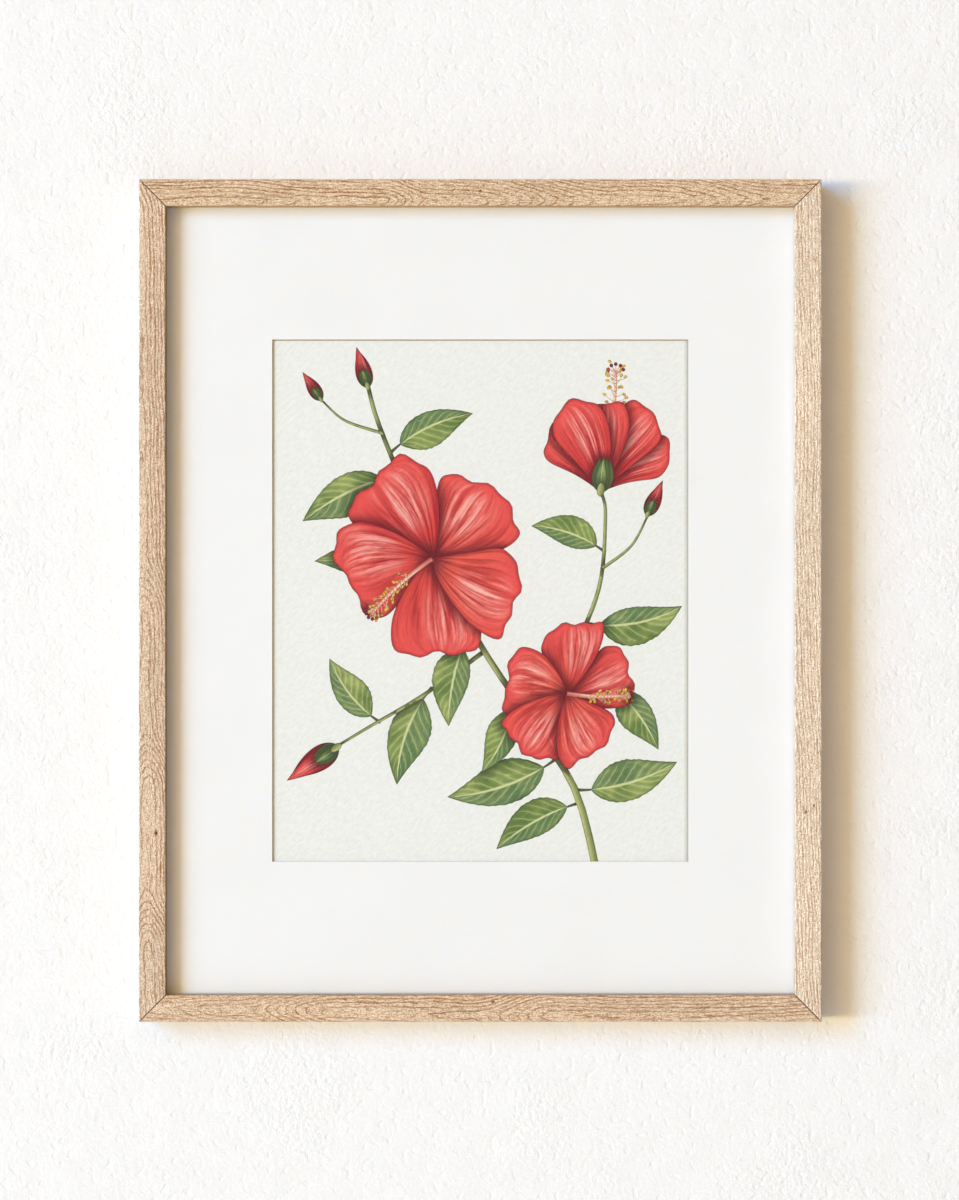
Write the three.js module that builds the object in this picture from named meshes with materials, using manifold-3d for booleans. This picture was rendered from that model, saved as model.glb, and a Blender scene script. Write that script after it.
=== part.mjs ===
// A framed picture that hangs on a wall. A mitred oak frame holds a pane of glass, a white mat with a
// straight-cut window, a printed sheet on its mount board, a filler board and a hardboard backing. Turn
// buttons keep the backing in, and a sawtooth hanger on the top rail hangs the picture on a hook.
//
// Millimetres, +Z up. The picture faces -Y, and the wall is the plane y = 0. The origin is the point of
// that plane straight behind the middle notch of the hanger, where the wall's hook carries the picture.
// Left and right are as seen from the front.

import * as THREE from 'three';
import { mergeVertices } from 'three/addons/utils/BufferGeometryUtils.js';
import Module from 'manifold-3d';

const wasm = await Module();
wasm.setup();

// The frame, which takes a 400 by 500 mm pane.
const FRAME_WIDTH = 423;
const FRAME_HEIGHT = 522;
const FRAME_DEPTH = 21.5;
const RAIL_FACE = 16.5;
const LIP_DEPTH = 8.25;
const REBATE_WIDTH = 6;
const FRONT_ROUND = 0.9;
const SIGHT_ROUND = 0.6;
const BACK_ROUND = 0.5;
const MITRE_GAP = 0.3;

// Where the frame stands off the wall, and where its hook carries it.
const BUMPER_THICKNESS = 3;
const HOOK_BELOW_TOP = 9;
const RAIL_BACK = -BUMPER_THICKNESS;
const FRAME_FRONT = RAIL_BACK - FRAME_DEPTH;
const PICTURE_CENTRE = HOOK_BELOW_TOP - FRAME_HEIGHT / 2;
const LAND_WIDTH = RAIL_FACE - REBATE_WIDTH;

// What lies in the rebate, from the front to the back.
const PANE_WIDTH = 400;
const PANE_HEIGHT = 500;
const GLASS_THICKNESS = 2;
const MAT_THICKNESS = 1.5;
const SHEET_THICKNESS = 0.25;
const MOUNT_BOARD_THICKNESS = 1.5;
const FILLER_THICKNESS = 5;
const BACKING_THICKNESS = 3;
const WINDOW_WIDTH = 259;
const WINDOW_HEIGHT = 325;
const SHEET_MARGIN = 18.5;
const TAPE_WIDTH = 25;
const TAPE_LENGTH = 40;
const TAPE_FROM_CENTRE = 90;

// The turn buttons and their screws.
const BUTTON_THICKNESS = 0.8;
const BUTTON_REACH = 15;
const BUTTON_EYE_RADIUS = 4.2;
const BUTTON_TIP_RADIUS = 2.8;
const BUTTON_RUNNING_GAP = 0.25;
const BUTTON_FROM_EDGE = 5.25;
const BUTTON_UP_STILE = 150;
const BUTTON_ALONG_RAIL = 80;
const SCREW_RADIUS = 1.2;
const SCREW_LENGTH = 9;
const SCREW_POINT = 2;
const SCREW_HEAD_RADIUS = 2.6;
const SCREW_HEAD_HEIGHT = 1;
const SLOT_WIDTH = 0.6;
const SLOT_DEPTH = 0.5;

// The hanger and its nails.
const HANGER_LENGTH = 46;
const HANGER_HEIGHT = 8;
const HANGER_THICKNESS = 0.7;
const HANGER_RISE = 1.5;
const HANGER_FOOT = 9;
const HANGER_RAMP = 2;
const TOOTH_PITCH = 3.2;
const TOOTH_HEIGHT = 1.2;
const TOOTH_NOTCHES = 7;
const NAIL_RADIUS = 0.6;
const NAIL_LENGTH = 9;
const NAIL_POINT = 2;
const NAIL_HEAD_RADIUS = 1.6;
const NAIL_HEAD_HEIGHT = 0.6;

// Smaller hardware.
const BUMPER_SIDE = 10;
const BUMPER_FROM_END = 15;
const V_NAIL_DEPTH = 7;
const V_NAIL_THICKNESS = 0.6;
const V_NAIL_CORNER = 7;
const V_NAIL_LEG = 4.5;
const V_NAIL_SUNK = 0.25;
const FIT_GAP = 0.3;

// How far a cutting shape runs past the surface that it opens, and the sides of a round shape.
const CUT_PAST = 1;
const ROUND_SIDES = 16;
const FINE_SIDES = 12;
const ARC_SIDES = 9;
const EASED_EDGE_SIDES = 3;

const OAK = new THREE.MeshStandardMaterial({ color: 0xd8bd98, roughness: 0.62, metalness: 0 });
const GLASS = new THREE.MeshStandardMaterial({
  color: 0xf4f8f7,
  roughness: 0.04,
  metalness: 0,
  transparent: true,
  opacity: 0.2,
});
const MAT = new THREE.MeshStandardMaterial({ color: 0xf4f2ef, roughness: 0.9, metalness: 0 });
const PAPER = new THREE.MeshStandardMaterial({ color: 0xf0f0ea, roughness: 0.95, metalness: 0 });
const TAPE = new THREE.MeshStandardMaterial({ color: 0xefe9da, roughness: 0.9, metalness: 0 });
const BOARD = new THREE.MeshStandardMaterial({ color: 0xe6e0d2, roughness: 0.9, metalness: 0 });
const HARDBOARD = new THREE.MeshStandardMaterial({ color: 0x8a6444, roughness: 0.75, metalness: 0 });
const ZINC = new THREE.MeshStandardMaterial({ color: 0xb9bcbd, roughness: 0.35, metalness: 1 });
const BRASSED = new THREE.MeshStandardMaterial({ color: 0xb8975a, roughness: 0.35, metalness: 1 });
const FELT = new THREE.MeshStandardMaterial({ color: 0x6b6660, roughness: 1, metalness: 0 });

// Solids and cuts

function solidOf(geometry) {
  const bare = geometry.clone();
  bare.deleteAttribute('normal');
  bare.deleteAttribute('uv');
  const merged = mergeVertices(bare, 1e-4);
  return new wasm.Manifold(new wasm.Mesh({
    numProp: 3,
    vertProperties: new Float32Array(merged.attributes.position.array),
    triVerts: new Uint32Array(merged.index.array),
  }));
}

function geometryOf(solid) {
  const mesh = solid.getMesh();
  const geometry = new THREE.BufferGeometry();
  geometry.setAttribute('position', new THREE.BufferAttribute(mesh.vertProperties, 3));
  geometry.setIndex(new THREE.BufferAttribute(mesh.triVerts, 1));
  geometry.computeVertexNormals();
  return geometry;
}

function cutFrom(geometry, cutters) {
  let solid = solidOf(geometry);
  for (const cutter of cutters) {
    solid = solid.subtract(solidOf(cutter));
  }
  return geometryOf(solid);
}

// A plate of an outline drawn in x and z. Its back is at y = 0 and its front at y = -thickness.
function plate(outline, thickness) {
  const options = { depth: thickness, steps: 1, bevelEnabled: false, curveSegments: ARC_SIDES };
  return new THREE.ExtrudeGeometry(outline, options).rotateX(Math.PI / 2);
}

// A round hole's shape along y, from its mouth at the rail's back to its depth.
function drill(x, z, radius, depth) {
  const hole = new THREE.CylinderGeometry(radius, radius, depth + CUT_PAST, FINE_SIDES);
  return hole.translate(x, RAIL_BACK + (CUT_PAST - depth) / 2, z);
}

function rectangle(width, height) {
  const outline = new THREE.Shape();
  outline.moveTo(-width / 2, -height / 2);
  outline.lineTo(width / 2, -height / 2);
  outline.lineTo(width / 2, height / 2);
  outline.lineTo(-width / 2, height / 2);
  outline.closePath();
  return outline;
}

// The rails

// The moulding's section: x runs from the outer edge inwards, and y from the front to the back.
function railSection() {
  const shoulder = FRAME_FRONT + LIP_DEPTH;
  const inner = RAIL_FACE - SIGHT_ROUND;
  const section = new THREE.Shape();
  section.moveTo(0, FRAME_FRONT + FRONT_ROUND);
  section.absarc(FRONT_ROUND, FRAME_FRONT + FRONT_ROUND, FRONT_ROUND, Math.PI, 1.5 * Math.PI);
  section.lineTo(inner, FRAME_FRONT);
  section.absarc(inner, FRAME_FRONT + SIGHT_ROUND, SIGHT_ROUND, 1.5 * Math.PI, 2 * Math.PI);
  section.lineTo(RAIL_FACE, shoulder);
  section.lineTo(LAND_WIDTH, shoulder);
  section.lineTo(LAND_WIDTH, RAIL_BACK);
  section.lineTo(BACK_ROUND, RAIL_BACK);
  section.lineTo(0, RAIL_BACK - BACK_ROUND);
  section.closePath();
  return section;
}

// The section run along x and mitred: each end point is drawn in by its own distance from the outer edge.
function mitredRail(length, reach) {
  const options = { depth: length, steps: 1, bevelEnabled: false, curveSegments: EASED_EDGE_SIDES };
  const geometry = new THREE.ExtrudeGeometry(railSection(), options);
  geometry.translate(0, 0, -length / 2).rotateY(-Math.PI / 2);
  const points = geometry.attributes.position;
  for (let i = 0; i < points.count; i += 1) {
    const inwards = points.getZ(i);
    const end = length / 2 - inwards - MITRE_GAP / Math.SQRT2;
    points.setX(i, Math.sign(points.getX(i)) * end);
    points.setZ(i, inwards - reach);
  }
  return geometry;
}

// The V-nail's outline at a corner, in distances inwards from the frame's two outer edges.
function vNailOutline(thickness, leg) {
  const near = V_NAIL_CORNER - thickness / 2;
  const far = V_NAIL_CORNER + thickness / 2;
  const tip = V_NAIL_CORNER - leg;
  const outline = new THREE.Shape();
  outline.moveTo(far, far);
  outline.lineTo(tip, far);
  outline.lineTo(tip, near);
  outline.lineTo(near, near);
  outline.lineTo(near, tip);
  outline.lineTo(far, tip);
  outline.closePath();
  return outline;
}

// The pockets that the V-nails of both ends stand in.
function vNailPockets(length, reach) {
  const outline = vNailOutline(V_NAIL_THICKNESS + 2 * FIT_GAP, V_NAIL_LEG + FIT_GAP);
  const depth = V_NAIL_DEPTH + V_NAIL_SUNK + FIT_GAP;
  return [0, 1].map((turn) => {
    const pocket = plate(outline, depth + CUT_PAST).translate(0, RAIL_BACK + CUT_PAST, 0);
    if (turn === 0) {
      return pocket.translate(-length / 2, 0, -reach);
    }
    return pocket.rotateY(-Math.PI / 2).translate(length / 2, 0, -reach);
  });
}

// A rail, built as the bottom one and turned to its side. Its holes are given along it and inwards.
function rail(name, side, holes) {
  const upright = side % 2 === 1;
  const length = upright ? FRAME_HEIGHT : FRAME_WIDTH;
  const reach = (upright ? FRAME_WIDTH : FRAME_HEIGHT) / 2;
  const cutters = vNailPockets(length, reach);
  for (const hole of holes) {
    cutters.push(drill(hole.along, hole.inwards - reach, hole.radius, hole.depth));
  }
  const mesh = new THREE.Mesh(cutFrom(mitredRail(length, reach), cutters), OAK);
  mesh.name = name;
  mesh.rotation.y = side * Math.PI / 2;
  return mesh;
}

function screwHole(along) {
  const inwards = BUTTON_FROM_EDGE;
  return { along, inwards, radius: SCREW_RADIUS + FIT_GAP, depth: SCREW_LENGTH + FIT_GAP };
}

function nailHole(along) {
  const inwards = HOOK_BELOW_TOP - hangerNailHeight();
  return { along, inwards, radius: NAIL_RADIUS + FIT_GAP, depth: NAIL_LENGTH + FIT_GAP };
}

function frameRails() {
  const stileHoles = [screwHole(-BUTTON_UP_STILE), screwHole(BUTTON_UP_STILE)];
  const nails = [nailHole(-hangerNailOffset()), nailHole(hangerNailOffset())];
  return [
    rail('rail_bottom', 0, [screwHole(-BUTTON_ALONG_RAIL)]),
    rail('rail_left', 1, stileHoles),
    rail('rail_top', 2, [screwHole(-BUTTON_ALONG_RAIL), ...nails]),
    rail('rail_right', 3, stileHoles),
  ];
}

function vNails() {
  const corners = [
    { name: 'v_nail_bottom_left', x: -1, z: -1, turn: 0 },
    { name: 'v_nail_bottom_right', x: 1, z: -1, turn: -1 },
    { name: 'v_nail_top_right', x: 1, z: 1, turn: 2 },
    { name: 'v_nail_top_left', x: -1, z: 1, turn: 1 },
  ];
  return corners.map((corner) => {
    const outline = vNailOutline(V_NAIL_THICKNESS, V_NAIL_LEG);
    const mesh = new THREE.Mesh(plate(outline, V_NAIL_DEPTH), ZINC);
    mesh.name = corner.name;
    mesh.rotation.y = corner.turn * Math.PI / 2;
    mesh.position.set(corner.x * FRAME_WIDTH / 2, RAIL_BACK - V_NAIL_SUNK, corner.z * FRAME_HEIGHT / 2);
    return mesh;
  });
}

// The pack in the rebate

function layers() {
  const sheetWidth = WINDOW_WIDTH + 2 * SHEET_MARGIN;
  const sheetHeight = WINDOW_HEIGHT + 2 * SHEET_MARGIN;
  const tapes = ['hinge_tape_left', 'hinge_tape_right'].map((name, i) => ({
    name,
    outline: rectangle(TAPE_WIDTH, TAPE_LENGTH),
    x: (2 * i - 1) * TAPE_FROM_CENTRE,
    z: sheetHeight / 2 + TAPE_LENGTH / 2,
    material: TAPE,
  }));
  const pane = rectangle(PANE_WIDTH, PANE_HEIGHT);
  const mat = rectangle(PANE_WIDTH, PANE_HEIGHT);
  mat.holes.push(rectangle(WINDOW_WIDTH, WINDOW_HEIGHT));
  const print = { name: 'print_sheet', outline: rectangle(sheetWidth, sheetHeight), material: PAPER };
  const onePiece = (name, thickness, outline, material) => ({
    thickness,
    pieces: [{ name, outline, material }],
  });
  return [
    onePiece('glazing', GLASS_THICKNESS, pane, GLASS),
    onePiece('mat_board', MAT_THICKNESS, mat, MAT),
    { thickness: SHEET_THICKNESS, pieces: [print, ...tapes] },
    onePiece('mount_board', MOUNT_BOARD_THICKNESS, pane, BOARD),
    onePiece('filler_board', FILLER_THICKNESS, pane, BOARD),
    onePiece('backing_board', BACKING_THICKNESS, pane, HARDBOARD),
  ];
}

// The layers lie face to face, from the rebate's shoulder to just under the turn buttons.
function pack() {
  const meshes = [];
  let back = FRAME_FRONT + LIP_DEPTH;
  for (const layer of layers()) {
    back += layer.thickness;
    for (const piece of layer.pieces) {
      const mesh = new THREE.Mesh(plate(piece.outline, layer.thickness), piece.material);
      mesh.name = piece.name;
      mesh.position.set(piece.x ?? 0, back, piece.z ?? 0);
      meshes.push(mesh);
    }
  }
  return meshes;
}

// The turn buttons

// A pear-shaped plate that points along +x from its eye.
function buttonGeometry() {
  const lean = Math.acos((BUTTON_EYE_RADIUS - BUTTON_TIP_RADIUS) / BUTTON_REACH);
  const outline = new THREE.Shape();
  outline.absarc(0, 0, BUTTON_EYE_RADIUS, lean, 2 * Math.PI - lean);
  outline.absarc(BUTTON_REACH, 0, BUTTON_TIP_RADIUS, -lean, lean);
  outline.closePath();
  const eye = new THREE.Path();
  eye.absarc(0, 0, SCREW_RADIUS + FIT_GAP, 0, 2 * Math.PI);
  outline.holes.push(eye);
  return plate(outline, BUTTON_THICKNESS);
}

// A slotted screw that points along -y, with the underside of its head at y = 0.
function screwGeometry() {
  const headRing = SCREW_HEAD_RADIUS - SCREW_HEAD_HEIGHT / 2;
  const section = [
    new THREE.Vector2(0, -SCREW_LENGTH),
    new THREE.Vector2(SCREW_RADIUS, SCREW_POINT - SCREW_LENGTH),
    new THREE.Vector2(SCREW_RADIUS, 0),
    new THREE.Vector2(SCREW_HEAD_RADIUS, 0),
    new THREE.Vector2(SCREW_HEAD_RADIUS, SCREW_HEAD_HEIGHT / 2),
    new THREE.Vector2(headRing, SCREW_HEAD_HEIGHT),
    new THREE.Vector2(0, SCREW_HEAD_HEIGHT),
  ];
  const slot = new THREE.BoxGeometry(3 * SCREW_HEAD_RADIUS, 2 * SLOT_DEPTH, SLOT_WIDTH);
  slot.translate(0, SCREW_HEAD_HEIGHT, 0);
  return cutFrom(new THREE.LatheGeometry(section, ROUND_SIDES), [slot]);
}

function buttonPlaces() {
  const edgeX = FRAME_WIDTH / 2 - BUTTON_FROM_EDGE;
  const edgeZ = FRAME_HEIGHT / 2 - BUTTON_FROM_EDGE;
  return [
    { name: 'left_upper', x: -edgeX, z: BUTTON_UP_STILE, turn: 0 },
    { name: 'left_lower', x: -edgeX, z: -BUTTON_UP_STILE, turn: 0 },
    { name: 'right_upper', x: edgeX, z: BUTTON_UP_STILE, turn: 2 },
    { name: 'right_lower', x: edgeX, z: -BUTTON_UP_STILE, turn: 2 },
    { name: 'top', x: BUTTON_ALONG_RAIL, z: edgeZ, turn: 1 },
    { name: 'bottom', x: -BUTTON_ALONG_RAIL, z: -edgeZ, turn: -1 },
  ];
}

function turnButtons() {
  const buttonBack = RAIL_BACK + BUTTON_RUNNING_GAP + BUTTON_THICKNESS;
  return buttonPlaces().flatMap((place) => {
    const button = new THREE.Mesh(buttonGeometry(), BRASSED);
    button.name = `turn_button_${place.name}`;
    button.rotation.y = place.turn * Math.PI / 2;
    button.position.set(place.x, buttonBack, place.z);
    const screw = new THREE.Mesh(screwGeometry(), BRASSED);
    screw.name = `button_screw_${place.name}`;
    screw.position.set(place.x, buttonBack + BUTTON_RUNNING_GAP, place.z);
    return [button, screw];
  });
}

// The hanger

function hangerNailOffset() {
  return (HANGER_LENGTH - HANGER_FOOT) / 2;
}

// Above the origin: the middle of the hanger's height.
function hangerNailHeight() {
  return HANGER_HEIGHT / 2 - TOOTH_HEIGHT;
}

// The strip from above: two feet flat on the rail and a raised middle, which leaves room for the hook.
function hangerSection() {
  const end = HANGER_LENGTH / 2;
  const foot = end - HANGER_FOOT;
  const rise = foot - HANGER_RAMP;
  const section = new THREE.Shape();
  section.moveTo(-end, 0);
  section.lineTo(-foot, 0);
  section.lineTo(-rise, HANGER_RISE);
  section.lineTo(rise, HANGER_RISE);
  section.lineTo(foot, 0);
  section.lineTo(end, 0);
  section.lineTo(end, HANGER_THICKNESS);
  section.lineTo(foot, HANGER_THICKNESS);
  section.lineTo(rise, HANGER_RISE + HANGER_THICKNESS);
  section.lineTo(-rise, HANGER_RISE + HANGER_THICKNESS);
  section.lineTo(-foot, HANGER_THICKNESS);
  section.lineTo(-end, HANGER_THICKNESS);
  section.closePath();
  return section;
}

// The notches between the teeth, cut up into the lower edge of the raised middle.
function notches() {
  const left = -TOOTH_NOTCHES * TOOTH_PITCH / 2;
  const below = -TOOTH_HEIGHT - CUT_PAST;
  const outline = new THREE.Shape();
  outline.moveTo(left, below);
  outline.lineTo(left, -TOOTH_HEIGHT);
  for (let i = 0; i < TOOTH_NOTCHES; i += 1) {
    outline.lineTo(left + (i + 0.5) * TOOTH_PITCH, 0);
    outline.lineTo(left + (i + 1) * TOOTH_PITCH, -TOOTH_HEIGHT);
  }
  outline.lineTo(-left, below);
  outline.closePath();
  const depth = HANGER_RISE + HANGER_THICKNESS + 2 * CUT_PAST;
  return plate(outline, depth).translate(0, RAIL_BACK + depth - CUT_PAST, 0);
}

function hanger() {
  const strip = new THREE.ExtrudeGeometry(hangerSection(), {
    depth: HANGER_HEIGHT,
    steps: 1,
    bevelEnabled: false,
  });
  strip.translate(0, RAIL_BACK, -TOOTH_HEIGHT);
  const holeRadius = NAIL_RADIUS + FIT_GAP;
  const holes = [-1, 1].map((side) => {
    const hole = new THREE.CylinderGeometry(holeRadius, holeRadius, 2 * HANGER_RISE, FINE_SIDES);
    return hole.translate(side * hangerNailOffset(), RAIL_BACK, hangerNailHeight());
  });
  const mesh = new THREE.Mesh(cutFrom(strip, [notches(), ...holes]), BRASSED);
  mesh.name = 'hanger';
  return mesh;
}

function hangerNails() {
  const section = [
    new THREE.Vector2(0, -NAIL_LENGTH),
    new THREE.Vector2(NAIL_RADIUS, NAIL_POINT - NAIL_LENGTH),
    new THREE.Vector2(NAIL_RADIUS, 0),
    new THREE.Vector2(NAIL_HEAD_RADIUS, 0),
    new THREE.Vector2(NAIL_HEAD_RADIUS, NAIL_HEAD_HEIGHT),
    new THREE.Vector2(0, NAIL_HEAD_HEIGHT),
  ];
  return ['left', 'right'].map((side, i) => {
    const mesh = new THREE.Mesh(new THREE.LatheGeometry(section, FINE_SIDES), BRASSED);
    mesh.name = `hanger_nail_${side}`;
    mesh.position.set((2 * i - 1) * hangerNailOffset(), RAIL_BACK + HANGER_THICKNESS, hangerNailHeight());
    return mesh;
  });
}

function bumpers() {
  return ['left', 'right'].map((side, i) => {
    const geometry = new THREE.BoxGeometry(BUMPER_SIDE, BUMPER_THICKNESS, BUMPER_SIDE);
    const mesh = new THREE.Mesh(geometry, FELT);
    mesh.name = `bumper_${side}`;
    const across = FRAME_WIDTH / 2 - BUMPER_FROM_END - BUMPER_SIDE / 2;
    const up = (LAND_WIDTH - FRAME_HEIGHT) / 2;
    mesh.position.set((2 * i - 1) * across, -BUMPER_THICKNESS / 2, up);
    return mesh;
  });
}

// The whole picture. What is placed from the frame's middle stands in a group at that middle.
const picture = new THREE.Group();
picture.position.z = PICTURE_CENTRE;
picture.add(...frameRails(), ...vNails(), ...pack(), ...turnButtons(), ...bumpers());

const framedPicture = new THREE.Group();
framedPicture.add(picture, hanger(), ...hangerNails());

export default framedPicture;
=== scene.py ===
"""A framed botanical print on a plaster wall.

The picture faces -Y and hangs on the wall at y = 0. Lengths are metres, unless a name or comment says mm.
"""

import math
import random

import bpy
import numpy as np
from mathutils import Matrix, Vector
from mathutils.geometry import delaunay_2d_cdt
from numpy.linalg import inv, norm


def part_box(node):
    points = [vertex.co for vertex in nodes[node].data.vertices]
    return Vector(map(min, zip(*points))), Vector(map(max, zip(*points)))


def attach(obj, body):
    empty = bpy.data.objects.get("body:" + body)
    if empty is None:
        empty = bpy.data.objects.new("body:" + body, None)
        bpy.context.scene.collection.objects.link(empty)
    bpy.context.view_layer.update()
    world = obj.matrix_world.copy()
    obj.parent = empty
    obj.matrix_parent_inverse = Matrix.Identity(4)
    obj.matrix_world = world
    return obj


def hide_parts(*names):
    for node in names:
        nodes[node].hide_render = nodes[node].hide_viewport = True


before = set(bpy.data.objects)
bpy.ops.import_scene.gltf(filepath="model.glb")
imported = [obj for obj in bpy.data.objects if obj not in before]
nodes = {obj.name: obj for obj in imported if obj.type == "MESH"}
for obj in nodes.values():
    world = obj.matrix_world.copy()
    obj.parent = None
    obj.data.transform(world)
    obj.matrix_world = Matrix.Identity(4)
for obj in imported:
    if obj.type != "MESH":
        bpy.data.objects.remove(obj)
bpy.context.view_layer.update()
scene = bpy.context.scene

MM = 0.001

# Photograph: its size, and where the wooden frame's edges are in it
PHOTO_PX = (959, 1200)
FRAME_ACROSS_PX = (139.1, 821.4)
FRAME_DOWN_PX = (179.8, 1021.3)

# Camera
CAMERA_DISTANCE = 2.0
SENSOR_MM = 36.0

# Picture
LEFT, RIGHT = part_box("rail_top")[0].x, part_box("rail_top")[1].x
BOTTOM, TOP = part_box("rail_left")[0].z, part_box("rail_left")[1].z
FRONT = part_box("rail_top")[0].y
MIDDLE = Vector(((LEFT + RIGHT) / 2, FRONT, (BOTTOM + TOP) / 2))
SHEET_LOW, SHEET_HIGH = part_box("print_sheet")
HALF_SHEET = np.array((SHEET_HIGH.x - SHEET_LOW.x, SHEET_HIGH.z - SHEET_LOW.z)) / MM / 2
SHEET_MARGIN_MM = 18.5

# Room
WALL_Y = 0.2 * MM
FLOOR_Z = -1.5
ROOM_SIZE = 14.0
GROUND_TONE = (0.76, 0.75, 0.735)
BACKDROP_TONE = (0.86, 0.85, 0.83)


class Signal:
    """A number in a shader. Arithmetic on it adds math nodes."""

    def __init__(self, shader, socket):
        self.shader = shader
        self.socket = socket

    def __abs__(self):
        return self.shader.math("ABSOLUTE", self)

    def __add__(self, other):
        return self.shader.math("ADD", self, other)

    def __sub__(self, other):
        return self.shader.math("SUBTRACT", self, other)

    def __rsub__(self, other):
        return self.shader.math("SUBTRACT", other, self)

    def __mul__(self, other):
        return self.shader.math("MULTIPLY", self, other)

    def __truediv__(self, other):
        return self.shader.math("DIVIDE", self, other)

    def step(self, low, high, to_low=0.0, to_high=1.0):
        """Goes smoothly from to_low to to_high as this number goes from low to high."""
        values = {"Value": self, "From Min": low, "From Max": high, "To Min": to_low, "To Max": to_high}
        return self.shader.out("ShaderNodeMapRange", values, interpolation_type="SMOOTHSTEP")


class Shader:
    """A material made node by node. Its x, y and z are in mm, in the shared frame."""

    def __init__(self, name):
        self.material = bpy.data.materials.new(name)
        self.material.use_nodes = True
        self.material.node_tree.nodes.clear()
        metres = self.out("ShaderNodeTexCoord", output="Object")
        self.place = self.out("ShaderNodeVectorMath", {0: metres, "Scale": 1 / MM}, operation="SCALE")
        self.x, self.y, self.z = self.parts(self.place)

    def add(self, kind, inputs=(), **settings):
        """A new node. inputs maps a socket's name or number to a value or Signal."""
        node = self.material.node_tree.nodes.new(kind)
        for name, value in settings.items():
            setattr(node, name, value)
        for key, value in dict(inputs).items():
            socket = node.inputs[key]
            if isinstance(value, Signal):
                self.material.node_tree.links.new(value.socket, socket)
            elif isinstance(value, tuple) and socket.type == "RGBA":
                socket.default_value = (*value, 1)
            else:
                socket.default_value = value
        return node

    def out(self, kind, inputs=(), output=0, **settings):
        """What a new node gives at this output."""
        return Signal(self, self.add(kind, inputs, **settings).outputs[output])

    def parts(self, vector):
        """The x, y and z of a vector."""
        split = self.add("ShaderNodeSeparateXYZ", {0: vector})
        return [Signal(self, part) for part in split.outputs]

    def math(self, operation, *values):
        """What a math node gives, such as ADD or FRACT."""
        return self.out("ShaderNodeMath", dict(enumerate(values)), operation=operation)

    def vector(self, x, y, z):
        """Three numbers as one place."""
        return self.out("ShaderNodeCombineXYZ", {0: x, 1: y, 2: z})

    def noise(self, place, scale=1.0, detail=3.0, roughness=0.5, distortion=0.0):
        """Smooth noise around 0.5, with scale cycles per unit of place."""
        values = {"Vector": place, "Scale": scale, "Detail": detail, "Roughness": roughness}
        values["Distortion"] = distortion
        return self.out("ShaderNodeTexNoise", values, "Fac")

    def blend(self, share, first, second, mode="MIX"):
        """The first colour with this share of the second."""
        values = {0: share, 6: first, 7: second}
        return self.out("ShaderNodeMix", values, 2, data_type="RGBA", blend_type=mode)

    def layers(self, colour, *coats):
        """The colour with each of these over it in turn, as (share, colour)."""
        for share, coat in coats:
            colour = self.blend(share, colour, coat)
        return colour

    def shaded(self, colour, shade):
        """The colour times a number."""
        return self.blend(1.0, colour, self.vector(shade, shade, shade), "MULTIPLY")

    def bump(self, height, depth_mm):
        """The normal of a surface whose relief is height times depth_mm."""
        return self.out("ShaderNodeBump", {"Height": height, "Distance": depth_mm * MM})

    def coat(self, **values):
        """A surface with these values. An underscore stands for a space."""
        inputs = {name.replace("_", " "): value for name, value in values.items()}
        return self.out("ShaderNodeBsdfPrincipled", inputs)

    def surface(self, **values):
        """Ends the material in such a surface."""
        return self.end(self.coat(**values))

    def mix_shaders(self, share, first, second):
        """The first shader with this share of the second."""
        return self.out("ShaderNodeMixShader", {0: share, 1: first, 2: second})

    def end(self, surface):
        """Joins a shader to the material's output."""
        self.add("ShaderNodeOutputMaterial", {"Surface": surface})
        return self.material


def in_scene(name, data):
    """A new object in the scene."""
    made = bpy.data.objects.new(name, data)
    scene.collection.objects.link(made)
    return made


def new_object(name, vertices, faces, *materials):
    """A mesh from its points, faces and materials."""
    mesh = bpy.data.meshes.new(name)
    mesh.from_pydata(vertices, [], faces)
    for material in materials:
        mesh.materials.append(material)
    return in_scene(name, mesh)


def rectangle(name, low, high, material):
    """A level or upright rectangle between two of its corners."""
    corners = [low, (high[0], *low[1:]), high, (low[0], *high[1:])]
    return new_object(name, corners, [(0, 1, 2, 3)], material)


def hide(thing, *kinds):
    """Hides a thing from these kinds of rays."""
    for kind in kinds:
        setattr(thing, "visible_" + kind, False)


# Camera

def make_camera():
    """Straight on, with the framing of the photograph."""
    metres_per_px = (RIGHT - LEFT) / (FRAME_ACROSS_PX[1] - FRAME_ACROSS_PX[0])
    across = (PHOTO_PX[0] - sum(FRAME_ACROSS_PX)) / 2 * metres_per_px
    up = (sum(FRAME_DOWN_PX) - PHOTO_PX[1]) / 2 * metres_per_px
    data = bpy.data.cameras.new("camera")
    data.sensor_width = SENSOR_MM
    data.lens = SENSOR_MM * CAMERA_DISTANCE / (PHOTO_PX[1] * metres_per_px)
    camera = in_scene("camera", data)
    camera.location = MIDDLE + Vector((across, -CAMERA_DISTANCE, up))
    camera.rotation_euler = (math.radians(90), 0, 0)
    scene.camera = camera


# Lights and room

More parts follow.
